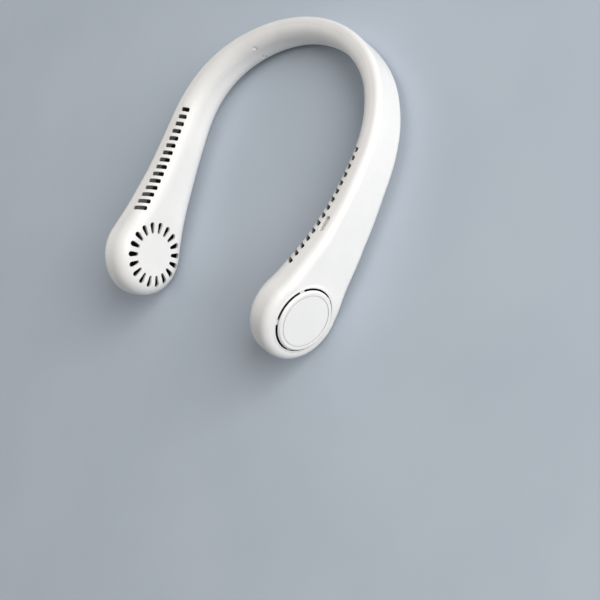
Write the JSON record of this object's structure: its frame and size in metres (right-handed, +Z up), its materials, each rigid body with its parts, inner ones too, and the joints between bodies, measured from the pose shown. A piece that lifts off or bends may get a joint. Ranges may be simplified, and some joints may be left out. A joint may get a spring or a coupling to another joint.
{
  "type": "neck fan",
  "caption": "Wearable electric neck fan: a hollow white horseshoe band with air outlet slots along its arms, ending in round pods with intake grilles, caps, motors and blower wheels.",
  "frame": {"origin": "middle of the underside of the bounding box, on the table the fan lies on", "axes": "+Z up from the table, +Y towards the back of the neck, +X towards the arm with the button and the charging port"},
  "size_m": [0.1766, 0.1974, 0.0526],
  "materials": {
    "shell_white": "satin",
    "cap_white": "satin",
    "button_white": "satin",
    "dark_plastic": "matte",
    "wheel_plastic": "matte",
    "board_green": "satin",
    "chip_black": "matte",
    "steel": "satin",
    "core_steel": "matte",
    "magnet": "matte",
    "bronze": "satin",
    "copper": "satin",
    "cell_wrap": "satin",
    "lead_rubber": "matte"
  },
  "bodies": {
    "housing": {"inner_shell": "shell_white", "outer_shell": "shell_white", "left_intake_cap": "cap_white", "left_motor_base": "dark_plastic", "left_motor_board": "board_green", "left_stator_core": "core_steel", "left_bearing_bush": "bronze", "left_stator_coils": "copper", "left_battery_cell": "cell_wrap", "left_volute_wall": "dark_plastic", "left_duct_floor": "dark_plastic", "right_intake_cap": "cap_white", "right_motor_base": "dark_plastic", "right_motor_board": "board_green", "right_stator_core": "core_steel", "right_bearing_bush": "bronze", "right_stator_coils": "copper", "right_battery_cell": "cell_wrap", "right_volute_wall": "dark_plastic", "right_duct_floor": "dark_plastic", "control_board": "board_green", "button_board": "board_green", "board_chips": "chip_black", "usb_socket": "steel", "usb_tongue": "cap_white", "button_switch": "chip_black", "neck_lead": "lead_rubber", "right_motor_lead": "lead_rubber", "motor_screws": "steel", "board_screws": "steel"},
    "left_fan": {"left_impeller": "wheel_plastic", "left_rotor_cup": "steel", "left_rotor_magnet": "magnet", "left_motor_shaft": "steel"},
    "right_fan": {"right_impeller": "wheel_plastic", "right_rotor_cup": "steel", "right_rotor_magnet": "magnet", "right_motor_shaft": "steel"},
    "button": {"power_button": "button_white", "switch_plunger": "chip_black"}
  },
  "joints": [
    {"name": "left_impeller_spin", "type": "hinge", "parent": "housing", "child": "left_fan", "pos_m": [-0.06523, -0.07078, 0.02613], "axis": [-0.9817, -0.1888, 0.0259], "continuous": true},
    {"name": "right_impeller_spin", "type": "hinge", "parent": "housing", "child": "right_fan", "pos_m": [0.06523, -0.07078, 0.02613], "axis": [0.9817, -0.1888, 0.0259], "continuous": true},
    {"name": "power_button_press", "type": "slide", "parent": "housing", "child": "button", "axis": [0.9912, -0.1314, 0.018], "range_m": [0, 0.0006], "stiffness_N_per_m": 2000}
  ]
}
